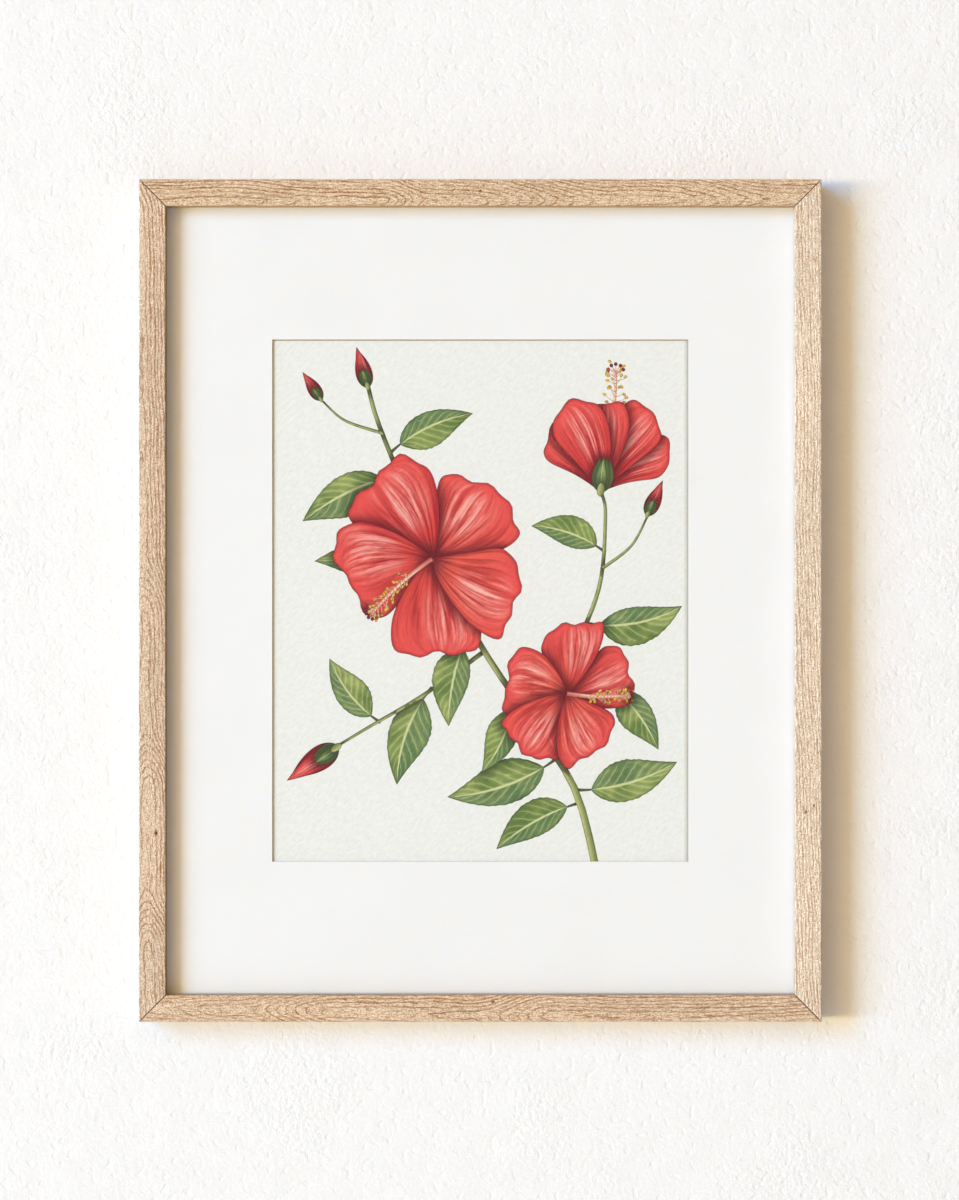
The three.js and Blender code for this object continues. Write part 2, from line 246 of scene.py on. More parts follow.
# Each window on the left: the slopes that it spans seen from the picture, to the left and up, and the light
# that it brings to the wall, where white in full light has 1
WINDOW_DISTANCE = 12.0
WINDOWS = {
    "near_high_window": ((0.2, 0.75), (0.25, 0.8), (0.08, 0.065, 0.045)),
    "near_low_window": ((0.4, 0.8), (-0.15, 0.05), (0.11, 0.07, 0.0)),
    "middle_low_window": ((0.8, 1.25), (-0.15, 0.05), (0.24, 0.17, 0.045)),
    "middle_high_window": ((0.8, 1.25), (0.05, 0.8), (0.0, 0.15, 0.355)),
    "far_low_window": ((1.25, 2.4), (-0.15, 0.05), (0.07, 0.115, 0.17)),
    "far_high_window": ((1.25, 1.6), (0.05, 0.8), (0.025, 0.04, 0.08)),
}
WALL_WHITE = 0.87

# The plain panel in front: its distance, size, reach below the picture's middle, and radiance
PANEL_DISTANCE = 2.8
PANEL_SIZE = (13.0, 6.5)
PANEL_DROP = 1.3
PANEL_RADIANCE = (0.5, 0.337, 0.163)

# The light behind the wall: its place from the picture's middle, size and watts
BACK_LIGHT = ((-1.6, 3.6, 0.9), (2.6, 2.0), (115, 113, 110))

# The faint light from everywhere else
AIR_COLOUR = (1.0, 0.97, 0.94, 1)
AIR_STRENGTH = 0.01


def soft_light(name, place, size, watts):
    """A soft light that faces the picture, unmirrored. watts is a colour."""
    data = bpy.data.lights.new(name, "AREA")
    data.shape = "RECTANGLE"
    data.size, data.size_y = size
    data.energy = max(watts)
    data.color = [value / max(watts) for value in watts]
    light = in_scene(name, data)
    light.location = MIDDLE + Vector(place)
    light.rotation_euler = (MIDDLE - light.location).to_track_quat("-Z", "Y").to_euler()
    hide(light, "camera", "glossy")
    return light


def window_light(name, across, up, share):
    """A window with these slopes, which brings this share of light to the wall."""
    first, last = math.atan(across[0]), math.atan(across[1])
    middle = (first + last) / 2
    place = Vector((-math.tan(middle), -1, (up[0] + up[1]) / 2)) * WINDOW_DISTANCE
    width = 2 * math.tan((last - first) / 2) * WINDOW_DISTANCE / math.cos(middle)
    height = (up[1] - up[0]) * WINDOW_DISTANCE
    per_share = math.pi ** 2 * place.length ** 3 / WINDOW_DISTANCE / WALL_WHITE
    return soft_light(name, place, (width, height), [value * per_share for value in share])


def light_room():
    """Windows on the left, a warm panel in front, and a light behind."""
    for name, facts in WINDOWS.items():
        window_light(name, *facts)
    area = PANEL_SIZE[0] * PANEL_SIZE[1]
    watts = [value * math.pi * area for value in PANEL_RADIANCE]
    soft_light("room_panel", (0, -PANEL_DISTANCE, PANEL_SIZE[1] / 2 - PANEL_DROP), PANEL_SIZE, watts)
    behind = soft_light("back_light", *BACK_LIGHT)
    behind.visible_glossy = True
    behind.data.cycles.max_bounces = 0
    world = bpy.data.worlds.new("room_air")
    world.use_nodes = True
    air = world.node_tree.nodes["Background"].inputs
    air["Color"].default_value = AIR_COLOUR
    air["Strength"].default_value = AIR_STRENGTH
    scene.world = world
    scene.view_settings.view_transform = "Standard"


def plaster():
    """White plaster with fine bumps, which isn't seen from behind."""
    shader = Shader("plaster")
    lumps = shader.noise(shader.place, 0.05, detail=3)
    grains = shader.noise(shader.place, 0.32, detail=2, roughness=0.6)
    patches = shader.noise(shader.place, 0.012, detail=1).step(0.52, 0.7)
    pits = shader.noise(shader.place, 0.2, detail=0).step(0.28, 0.38)
    tone = shader.blend(lumps.step(0.3, 0.7), (0.898, 0.881, 0.864), (0.882, 0.865, 0.846))
    relief = lumps * 0.5 + grains * (patches * 0.4 + 0.4) + pits * 0.14
    relief = shader.bump(relief, 1.0)
    wall = shader.coat(Base_Color=tone, Roughness=0.9, Specular_IOR_Level=0.0, Normal=relief)
    behind = shader.out("ShaderNodeNewGeometry", output="Backfacing")
    clear = shader.out("ShaderNodeBsdfTransparent")
    return shader.end(shader.mix_shaders(behind, wall, clear))


def pale_floor():
    """The pale floor that lights the picture from below."""
    shader = Shader("pale_floor")
    cloud = shader.noise(shader.place, 0.004, detail=4)
    tone = shader.blend(cloud, (0.8, 0.79, 0.77), (0.74, 0.73, 0.71))
    return shader.surface(Base_Color=tone, Roughness=0.8, Specular_IOR_Level=0.2)


def plain_glow(name, tone):
    """One even pale tone, whatever the light."""
    shader = Shader(name)
    return shader.end(shader.out("ShaderNodeEmission", {"Color": tone, "Strength": 1.0}))


def make_room():
    """The wall, a floor, and a backdrop for the views from behind."""
    half = ROOM_SIZE / 2
    ground = plain_glow("pale_ground", GROUND_TONE)
    wall = rectangle("wall", (-half, WALL_Y, FLOOR_Z), (half, WALL_Y, half), plaster())
    lit_floor = rectangle("lit_floor", (-half, -half, FLOOR_Z), (half, half, FLOOR_Z), pale_floor())
    floor = rectangle("floor", (-ROOM_SIZE, -ROOM_SIZE, FLOOR_Z), (ROOM_SIZE, ROOM_SIZE, FLOOR_Z), ground)
    span = (-ROOM_SIZE, ROOM_SIZE)
    corners = [(x, y, z) for z in span for y in span for x in span]
    sides = [(0, 1, 5, 4), (1, 3, 7, 5), (3, 2, 6, 7), (2, 0, 4, 6), (0, 2, 3, 1), (4, 5, 7, 6)]
    backdrop = new_object("backdrop", corners, sides, plain_glow("pale_air", BACKDROP_TONE))
    hide(wall, "shadow", "glossy")
    hide(lit_floor, "camera", "glossy")
    for thing in (floor, backdrop):
        hide(thing, "diffuse", "transmission", "shadow")


# Oak

# Tones of the oiled wood, the last three of a ring's start, a knot's inside and the glue
PALE_OAK = (0.865, 0.725, 0.565)
MIDDLE_OAK = (0.675, 0.493, 0.334)
DARK_OAK = (0.392, 0.215, 0.093)
RING_BROWN = (0.285, 0.105, 0.028)
KNOT_BROWN = (0.03, 0.01, 0.005)
GLUE_LINE = (0.14, 0.065, 0.03)

# How far apart the rings are, and how far behind a rail's face the heart lies
RING_MM = 2.0
HEART_DEPTH_MM = 4.0

# Of each rail: the axis it runs along; its tint; how strongly its rings show; where across its face the
# tree's heart lies, in mm at the rail's middle, and how far that shifts per mm along; the rings crossed
# per mm along; where they are crossed faster, in nested arches, as (along, half length, rings); its knots,
# as (along, across, size); and the shade painted on its inner side, as its share and tone
RAILS = {
    "rail_top": (
        "x", (0.96, 0.925, 0.86), 1.0, (-5.5, 0.01), 0.008,
        ((-125, 20, 1.5), (-47, 14, 4.0), (35, 46, 7.5), (150, 34, 5.0)),
        ((0, 1.0, 0.7),), (0.6, (0.55, 0.27, 0.09)),
    ),
    "rail_bottom": (
        "x", (0.99, 0.95, 0.9), 1.0, (-4.5, -0.025), -0.008,
        ((-180, 12, -1.5), (-120, 30, -6.5), (20, 26, -6.0), (190, 40, -2.5)),
        ((8, 4.2, 0.7),), (0.5, DARK_OAK),
    ),
    "rail_left": (
        "z", (1.0, 1.0, 1.0), 1.0, (-5.0, -0.0155), 0.005,
        ((255, 12, 2.5), (10, 20, 4.5), (-97, 20, 6.0), (-197, 20, 6.0)),
        ((-144, 2.5, 1.1),), (1.0, (0.3, 0.16, 0.07)),
    ),
    "rail_right": (
        "z", (1.175, 1.27, 1.38), 0.7, (-16.0, 0.005), 0.01,
        ((-80, 50, 2.6), (-190, 60, 1.5)),
        ((-131, -1.5, 0.7), (-127, 3.5, 0.6), (-179, 1.8, 0.4)), (0.0, DARK_OAK),
    ),
}


def grain(shader, place, cycles, shift, detail=1):
    """Noise drawn out along a rail, with these cycles per mm along and across."""
    along, across, depth = place
    drawn_out = shader.vector(along * cycles[0], across * cycles[1], depth * cycles[1] + shift)
    return shader.noise(drawn_out, detail=detail)


def rings_crossed(shader, seed, growth, place):
    """How many rings lie between the tree's heart and this place in a rail."""
    along, across, depth = place
    (heart, drift), slope, arches = growth
    bend = shader.noise(shader.vector(along * 0.012, seed * 1.7, 0.0), detail=1) - 0.5
    off_across = across - along * drift - bend * 5 - heart
    off_depth = depth + HEART_DEPTH_MM
    radius = shader.math("SQRT", off_across * off_across + off_depth * off_depth)
    count = radius / RING_MM + along * slope
    for arch, reach, rings in arches:
        count = count + along.step(arch - reach, arch + reach, 0.0, rings)
    waves = grain(shader, place, (0.03, 0.12), seed)
    ripples = grain(shader, place, (0.15, 0.6), seed * 3)
    return count + waves * 1.2 + ripples * 0.5


def ring_lines(shader, seed, growth, place):
    """1 where a ring starts, soon fading, broken as pores are."""
    along, across, depth = place
    run = 0.5
    count = rings_crossed(shader, seed, growth, place)
    rise_along = rings_crossed(shader, seed, growth, (along + run, across, depth)) - count
    rise_across = rings_crossed(shader, seed, growth, (along, across + run, depth)) - count
    rise = shader.math("SQRT", rise_along * rise_along + rise_across * rise_across)
    into_ring_mm = shader.math("FRACT", count) / (rise / run + 0.02)
    line = into_ring_mm.step(0.0, 0.2) * into_ring_mm.step(0.45, 1.3, 1.0, 0.0)
    ring = shader.math("FLOOR", count)
    strength = shader.noise(shader.vector(ring * 1.7 + 0.5, seed, 5.0), detail=0)
    patches = grain(shader, place, (0.04, 0.3), seed * 9, 2)
    beads = grain(shader, place, (0.9, 1.8), seed * 5, 0)
    line = line * strength.step(0.35, 0.65, 0.65, 1.0) * patches.step(0.35, 0.55, 0.5, 1.0)
    return line * beads.step(0.3, 0.6, 0.45, 1.0)


def with_knots(shader, tone, along, across, knots):
    """The wood's tone with knots in it."""
    for knot_along, knot_across, size in knots:
        to_knot = shader.vector((along - knot_along) * 0.6, across - knot_across, 0.0)
        distance = shader.out("ShaderNodeVectorMath", {0: to_knot}, "Value", operation="LENGTH")
        ring = (distance.step(size * 0.6, size * 1.7, 0.7, 0.0), RING_BROWN)
        heart = (distance.step(size * 0.3, size * 0.8, 1.0, 0.0), KNOT_BROWN)
        tone = shader.layers(tone, ring, heart)
    return tone


def with_painted_inner_shade(shader, tone, rail, across, depth, inner_shade):
    """The wood's tone with shade painted on the rail's inner side, which the lip keeps from the window
    light.
    """
    low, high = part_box(rail)
    half_face = min(high.x - low.x, high.z - low.z) / 2 / MM
    outward = 1 if rail in ("rail_top", "rail_right") else -1
    inner_side = abs(across * outward + half_face).step(0.08, 0.03) * depth.step(0.4, 0.7)
    # Painted shade: the inner side of the lip is darkened where the light doesn't reach it
    share, inner_shade_tone = inner_shade
    return shader.blend(inner_side * share, tone, inner_shade_tone)


def with_glue(shader, tone):
    """The wood's tone with the glue line of the mitres."""
    from_side = (RIGHT - LEFT) / 2 / MM - abs(shader.x - MIDDLE.x / MM)
    from_end = (TOP - BOTTOM) / 2 / MM - abs(shader.z - MIDDLE.z / MM)
    from_mitre = abs(from_side - from_end) * math.sqrt(0.5)
    return shader.blend(from_mitre.step(0.2, 0.5, 0.8, 0.0), tone, GLUE_LINE)


def oak(rail, axis, tint, clarity, heart, slope, arches, knots, inner_shade):
    """Oiled pale oak, with rings, fibres and knots."""
    shader = Shader(rail + "_oak")
    low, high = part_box(rail)
    middle = (low + high) / 2 / MM
    x = shader.x - middle.x
    z = shader.z - middle.z
    depth = shader.y - low.y / MM
    along, across = (x, z) if axis == "x" else (z, x)
    place = (along, across, depth)
    seed = 0.37 * sum(ord(letter) for letter in rail)

    lines = ring_lines(shader, seed, (heart, slope, arches), place) * clarity
    streaks = grain(shader, place, (0.22, 1.5), seed * 2)
    pores = grain(shader, place, (1.1, 1.5), seed * 7, 0)
    fibres = (streaks + pores - 1.0) * 4.6
    cloud = shader.noise(shader.vector(along * 0.01, across * 0.05, seed), detail=2)

    tone = shader.layers(
        PALE_OAK,
        (fibres.step(-1.2, 0.1), MIDDLE_OAK),
        (fibres.step(0.0, 1.8), DARK_OAK),
        (lines, RING_BROWN),
    )
    tone = with_knots(shader, tone, along, across, knots)
    tone = shader.blend(1.0, tone, tint, "MULTIPLY")
    # Painted shade on the inner side of each rail's lip
    tone = with_painted_inner_shade(shader, tone, rail, across, depth, inner_shade)
    tone = with_glue(shader, tone)
    return shader.surface(
        Base_Color=shader.shaded(tone, cloud.step(0.3, 0.7, 0.95, 1.05)),
        Roughness=fibres.step(-1.0, 1.0, 0.5, 0.66),
        Specular_IOR_Level=0.35,
        Normal=shader.bump(fibres * -0.3 - lines, 0.06),
    )


# Glass, boards and paper

# The share of light that a face of the glass mirrors when it is seen head on
HEAD_ON_MIRROR = 0.012


def picture_glass():
    """Clear glass, which mirrors a little, more at a slant."""
    shader = Shader("picture_glass")
    smear = shader.noise(shader.place, 0.012, detail=0)
    roughness = smear.step(0.3, 0.7, 0.01, 0.04)
    mirror = shader.out("ShaderNodeBsdfGlossy", {"Color": (0.96, 1.0, 0.98), "Roughness": roughness})
    clear = shader.out("ShaderNodeBsdfTransparent", {"Color": (0.997, 1.0, 0.998)})
    slant = shader.out("ShaderNodeLayerWeight", {"Blend": 0.5}, "Facing")
    share = shader.math("POWER", slant, 5.0) * (1 - HEAD_ON_MIRROR) + HEAD_ON_MIRROR
    return shader.end(shader.mix_shaders(share, clear, mirror))


def mat_card():
    """White mat board with fine fibres, and a grey core at its cut edges."""
    shader = Shader("mat_card")
    tooth = shader.noise(shader.place, 1.4, detail=2, roughness=0.6)
    cloud = shader.noise(shader.place, 0.02, detail=1)
    flecks = shader.noise(shader.place, 0.7, detail=2)
    depth = shader.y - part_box("mat_board")[0].y / MM
    face = shader.layers(
        (0.862, 0.845, 0.838),
        (cloud.step(0.3, 0.7), (0.851, 0.834, 0.826)),
        (flecks.step(0.68, 0.8) * 0.25, (0.84, 0.82, 0.78)),
        (depth.step(0.02, 0.06), (0.45, 0.42, 0.36)),
    )
    relief = shader.bump(tooth, 0.05)
    return shader.surface(Base_Color=face, Roughness=0.88, Specular_IOR_Level=0.04, Normal=relief)


def plain_board(name, light, dark, grain_mm, depth_mm):
    """Mottled paper or board with short fibres."""
    shader = Shader(name)
    mottle = shader.noise(shader.place, 0.35 / grain_mm, detail=4)
    fibres = shader.noise(shader.place, 1 / grain_mm, detail=3, roughness=0.65, distortion=1.5)
    tone = shader.layers(light, (mottle.step(0.3, 0.7), dark), (fibres.step(0.6, 0.8) * 0.3, dark))
    relief = shader.bump(fibres, depth_mm)
    return shader.surface(Base_Color=tone, Roughness=0.85, Specular_IOR_Level=0.2, Normal=relief)


def hardboard():
    """Smooth brown hardboard with pressed fibres."""
    shader = Shader("hardboard_brown")
    mottle = shader.noise(shader.place, 0.03, detail=5, roughness=0.6)
    fibres = shader.noise(shader.place, 0.8, detail=4, roughness=0.7, distortion=2.0)
    specks = shader.noise(shader.place, 0.5, detail=1)
    tone = shader.layers(
        (0.215, 0.108, 0.047),
        (mottle.step(0.3, 0.7), (0.25, 0.132, 0.06)),
        (fibres.step(0.45, 0.75) * 0.5, (0.36, 0.21, 0.11)),
        (specks.step(0.66, 0.74) * 0.6, (0.09, 0.042, 0.02)),
    )
    roughness = fibres.step(0.3, 0.7, 0.42, 0.6)
    return shader.surface(Base_Color=tone, Roughness=roughness, Normal=shader.bump(fibres, 0.05))


# Paper and paints

def srgb(*levels):
    """A colour of 0 to 255 as the light values that a shader takes."""
    shares = np.array(levels) / 255
    return tuple(np.where(shares < 0.0404, shares / 12.92, ((shares + 0.055) / 1.055) ** 2.4))


PAPER_LIGHT = srgb(237, 236, 231)
PAPER_DARK = srgb(230, 229, 223)
# Painted shade along the mat's window: a thin brown line, and a soft grey band
WINDOW_SHADE_LINE = srgb(170, 138, 98)
WINDOW_SOFT_SHADE = srgb(178, 168, 150)


def paper_tooth(shader):
    """The relief of cold-pressed paper, in slanting ridges."""
    along = (shader.x * 0.77 + shader.z * 0.64) * 0.45
    slant = shader.vector(along, 0.0, shader.z * 0.77 - shader.x * 0.64)
    coarse = shader.noise(slant, 0.55, detail=2, roughness=0.5)
    fine = shader.noise(shader.place, 1.6, detail=2)
    return coarse * 0.7 + fine * 0.3


def drawing_paper():
    """Cold-pressed paper, with shade painted along the mat's window: a thin brown line at its top and
    sides, and a soft band at its right.
    """
    shader = Shader("drawing_paper")
    tooth = paper_tooth(shader)
    tone = shader.blend(tooth.step(0.35, 0.65), PAPER_DARK, PAPER_LIGHT)
    half_window = HALF_SHEET[0] - SHEET_MARGIN_MM
    # Painted shade along the window's edges, where the mat's cut edge shades the sheet
    soft_shade = (half_window - shader.x).step(0.3, 3.2, 0.6, 0.0)
    shade_line_top = (SHEET_HIGH.z / MM - SHEET_MARGIN_MM - shader.z).step(0.3, 0.9, 0.9, 0.0)
    shade_line_sides = (half_window - abs(shader.x)).step(0.2, 0.8, 0.6, 0.0)
    shade_lines = shader.math("MAXIMUM", shade_line_top, shade_line_sides)
    return shader.surface(
        Base_Color=shader.layers(tone, (soft_shade, WINDOW_SOFT_SHADE), (shade_lines, WINDOW_SHADE_LINE)),
        Roughness=0.9,
        Specular_IOR_Level=0.04,
        Normal=shader.bump(tooth, 0.4),
    )


# What the sheet's corners say of their shape. rim and cover are mm from its rim and from a shape above it
BLADE_FACTS = {"blade": ("along", "across", "seed"), "rim": ("rim", "cover", "tone")}


def blade_facts(shader, wanted="along across seed rim cover tone"):
    """These facts of the painted shape, named in a row."""
    facts = {}
    for attribute, names in BLADE_FACTS.items():
        vector = shader.out("ShaderNodeAttribute", output="Vector", attribute_name=attribute)
        facts.update(zip(names, shader.parts(vector)))
    return [facts[name] for name in wanted.split()]


def painted(shader, paint, rim, line, strength):
    """Ends a material as paint on paper, with a thin line along its rim."""
    waver = shader.noise(shader.place, 0.22, detail=2)
    outline = (rim / waver.step(0.3, 0.7, 0.28, 0.62)).step(0.4, 1.3, 1.0, 0.0)
    paint = shader.blend(outline * strength, paint, line)
    tooth = paper_tooth(shader)
    return shader.surface(
        Base_Color=shader.shaded(paint, tooth.step(0.3, 0.7, 0.9, 1.06)),
        Roughness=0.85,
        Specular_IOR_Level=0.12,
        Normal=shader.bump(tooth, 0.07),
    )


def petal_paint():
    """Coral to crimson petals with pale streaks, dark bases and drawn veins."""
    shader = Shader("petal_paint")
    along, across, seed, rim, cover, tone = blade_facts(shader)
    offset = seed * 40
    on_petal = shader.vector(across * 5.5 + offset, along * 1.2, 0.0)
    streaks = shader.noise(on_petal, detail=4, roughness=0.62)
    fine = shader.noise(shader.vector(across * 20 + offset, along * 2.2, 3.0), detail=2)
    wash = shader.noise(shader.place, 0.045, detail=3)
    lit = abs(across + seed * 0.7 - 0.3).step(0.75, 0.05)
    lit = lit * along.step(0.22, 0.5) * along.step(1.0, 0.78)
    vein = abs(shader.math("FRACT", across * 4.5 + seed * 3 + streaks * 0.7) - 0.5)
    paint = shader.layers(
        srgb(236, 104, 84),
        (tone, srgb(205, 36, 46)),
        ((along + wash * 0.3).step(0.35, 1.15), srgb(232, 82, 76)),
        (lit * (streaks + fine * 0.35).step(0.58, 0.86) * 0.85, srgb(248, 190, 178)),
        (streaks.step(0.58, 0.36) * along.step(1.0, 0.3, 0.25, 0.8), srgb(158, 18, 34)),
        (vein.step(0.13, 0.03) * along.step(0.05, 0.2) * along.step(0.95, 0.6) * 0.45, srgb(150, 22, 38)),
        ((along + streaks * 0.14).step(0.34, 0.06), srgb(86, 8, 24)),
        ((rim + fine * 1.5).step(3.6, 0.6) * 0.6, srgb(166, 20, 36)),
        ((cover + streaks * 3).step(8.5, 0.5) * 0.9, srgb(98, 10, 26)),
    )
    return painted(shader, paint, rim, srgb(66, 12, 22), 0.85)


def leaf_paint():
    """Olive leaves with a pale midrib, side veins, one half in shade and dark rims."""
    shader = Shader("leaf_paint")
    along, across, seed, rim, cover, tone = blade_facts(shader)
    on_leaf = shader.vector(across * 3 + seed * 40, along * 5, 0.0)
    streaks = shader.noise(on_leaf, detail=4, roughness=0.6)
    wash = shader.noise(shader.place, 0.06, detail=3)
    side = across.step(-0.05, 0.05)
    outward = abs(across)
    vein = abs(shader.math("FRACT", along * 8 - outward * 2.2 + side * 0.4 + streaks * 0.5) - 0.5)
    paint = shader.layers(
        srgb(178, 184, 112),
        (tone, srgb(140, 158, 84)),
        (wash.step(0.35, 0.68), srgb(104, 126, 62)),
        (side * streaks.step(0.3, 0.7, 0.25, 0.75), srgb(84, 118, 88)),
        (vein.step(0.12, 0.42) * 0.3, srgb(68, 92, 46)),
        (vein.step(0.1, 0.02) * outward.step(1.0, 0.6) * 0.5, srgb(196, 202, 142)),
        (streaks.step(0.6, 0.8) * 0.5, srgb(204, 206, 140)),
        (outward.step(0.09, 0.03), srgb(206, 208, 150)),
        ((rim + streaks * 1.4).step(2.6, 0.4) * 0.55, srgb(70, 92, 44)),
        ((cover + streaks * 3).step(9.0, 0.5) * 0.85, srgb(44, 62, 34)),
    )
    return painted(shader, paint, rim, srgb(50, 52, 30), 0.8)


def stem_paint():
    """Green stems, pale on one side and brown-green on the other."""
    shader = Shader("stem_paint")
    along, across, seed, rim, cover = blade_facts(shader, "along across seed rim cover")
    streaks = shader.noise(shader.vector(across * 1.6 + seed * 40, along * 14, 0.0), detail=3)
    paint = shader.layers(
        srgb(122, 132, 74),
        (across.step(-0.7, 0.9), srgb(186, 188, 122)),
        ((across + streaks).step(-0.1, -0.7), srgb(72, 78, 42)),
        (streaks.step(0.55, 0.75) * 0.45, srgb(132, 84, 62)),
        (cover.step(9.0, 0.5) * 0.85, srgb(54, 60, 32)),
    )
    return painted(shader, paint, rim, srgb(56, 46, 30), 0.75)


def gold_paint():
    """Yellow anthers, some touched with violet."""
    shader = Shader("gold_paint")
    along, across, rim, tone = blade_facts(shader, "along across rim tone")
    paint = shader.layers(
        srgb(214, 158, 36),
        (across.step(-0.6, 0.8), srgb(246, 220, 96)),
        (tone.step(0.7, 0.9) * along.step(0.9, 0.2), srgb(122, 72, 104)),
    )
    return painted(shader, paint, rim, srgb(108, 66, 26), 0.7)


def cream_paint():
    """The pale threads and column of a flower, rosy at their base."""
    shader = Shader("cream_paint")
    along, across, rim, tone = blade_facts(shader, "along across rim tone")
    paint = shader.layers(
        srgb(226, 150, 120),
        (across.step(-0.8, 0.8), srgb(252, 232, 196)),
        (along.step(0.5, 0.0) * tone, srgb(190, 60, 64)),
    )
    return painted(shader, paint, rim, srgb(120, 44, 40), 0.35)


# Metal and felt

def plated_metal(name, bright, dull):
    """Thin bright plating with scratches and dull clouds."""
    shader = Shader(name)
    cloud = shader.noise(shader.place, 0.25, detail=4)
    scratches = shader.noise(shader.vector(shader.x * 0.8, shader.y * 6, shader.z * 6), detail=2)
    tone = shader.blend(cloud.step(0.35, 0.75), bright, dull)
    roughness = (cloud * 0.6 + scratches * 0.4).step(0.3, 0.7, 0.22, 0.45)
    relief = shader.bump(scratches, 0.015)
    return shader.surface(Base_Color=tone, Metallic=1.0, Roughness=roughness, Normal=relief)


def felt():
    """Pressed felt with a soft fuzz."""
    shader = Shader("felt_fuzz")
    fuzz = shader.noise(shader.place, 2.2, detail=4, roughness=0.7, distortion=1.0)
    tone = shader.blend(fuzz.step(0.35, 0.7), (0.11, 0.095, 0.08), (0.23, 0.2, 0.17))
    sheen = {"Sheen_Weight": 0.4, "Sheen_Roughness": 0.5}
    return shader.surface(Base_Color=tone, Roughness=1.0, Normal=shader.bump(fuzz, 0.35), **sheen)


# Dressing of the CAD nodes

def dress(names, material):
    """Gives these nodes their material."""
    for name in names:
        nodes[name].data.materials.clear()
        nodes[name].data.materials.append(material)


def named(start):
    """The nodes whose names start so."""
    return sorted(name for name in nodes if name.startswith(start))


def round_edges(names, width_mm):
    """Breaks the sharp edges of these small parts."""
    for name in names:
        bevel = nodes[name].modifiers.new("edges", "BEVEL")
        bevel.width = width_mm * MM
        bevel.segments = 2
        bevel.limit_method = "ANGLE"
        bevel.angle_limit = math.radians(50)


# Tones of the boards and platings, the lighter one first
TAPE_TONES = (0.86, 0.82, 0.7), (0.78, 0.73, 0.6)
BOARD_TONES = (0.79, 0.74, 0.64), (0.7, 0.65, 0.55)
ZINC_TONES = (0.55, 0.56, 0.57), (0.4, 0.41, 0.42)
BRASS_TONES = (0.8, 0.56, 0.26), (0.56, 0.37, 0.16)


def dress_nodes():
    """Gives every CAD node its finish."""
    for rail, facts in RAILS.items():
        dress([rail], oak(rail, *facts))
    dress(["glazing"], picture_glass())
    dress(["mat_board"], mat_card())
    dress(named("hinge_tape"), plain_board("gummed_paper", *TAPE_TONES, 1.5, 0.05))
    dress(["mount_board", "filler_board"], plain_board("grey_board", *BOARD_TONES, 2.0, 0.1))
    dress(["backing_board"], hardboard())
    dress(named("v_nail"), plated_metal("zinc_plating", *ZINC_TONES))
    brass = named("turn_button") + named("button_screw") + named("hanger")
    dress(brass, plated_metal("brass_plating", *BRASS_TONES))
    round_edges(named("turn_button") + ["hanger"], 0.12)
    dress(named("bumper"), felt())


# Painted sheet. Its shapes are in mm from the middle of the picture, to the right and up

SHEET_CORNERS = [tuple(HALF_SHEET * sides) for sides in ((-1, -1), (1, -1), (1, 1), (-1, 1))]

# How far apart the sheet's inner points are, and how far inside a rim the first lie
GRID_MM = 2.6
INSET_MM = 0.7

# The steps of a shape's spine, how far the shade of a shape above reaches, and what stands for none near
SPINE_STEPS = 26
SHADE_MM = 8.0
FAR_MM = 60.0


def turned(heading, length=1.0):
    """A step of this length at heading, in degrees anticlockwise from the right."""
    angle = math.radians(heading)
    return np.array([math.cos(angle), math.sin(angle)]) * length


def shares(count):
    """Shares of a length from 0 to 1, closer together near both ends."""
    return (1 - np.cos(np.pi * np.arange(count + 1) / count)) / 2


def arc(start, heading, length, bend=0.0, count=SPINE_STEPS):
    """A curve that leaves start at heading and turns by bend degrees over its length."""
    turn = math.radians(bend) or 1e-6
    first = math.radians(heading)
    angles = first + turn * shares(count)
    along = length / turn * (np.sin(angles) - math.sin(first))
    up = length / turn * (math.cos(first) - np.cos(angles))
    return np.array(start) + np.stack([along, up], axis=1)


def through(points, count=SPINE_STEPS):
    """A smooth curve through these points."""
    known = np.array([points[0], *points, points[-1]], float)
    curve = []
    for place in np.linspace(0, len(points) - 1, count + 1):
        start = min(int(place), len(points) - 2)
        t = place - start
        before, here, there, after = known[start:start + 4]
        curve.append(here + 0.5 * t * (there - before
                     + t * (2 * before - 5 * here + 4 * there - after
                            + t * (3 * (here - there) + after - before))))
    return np.array(curve)


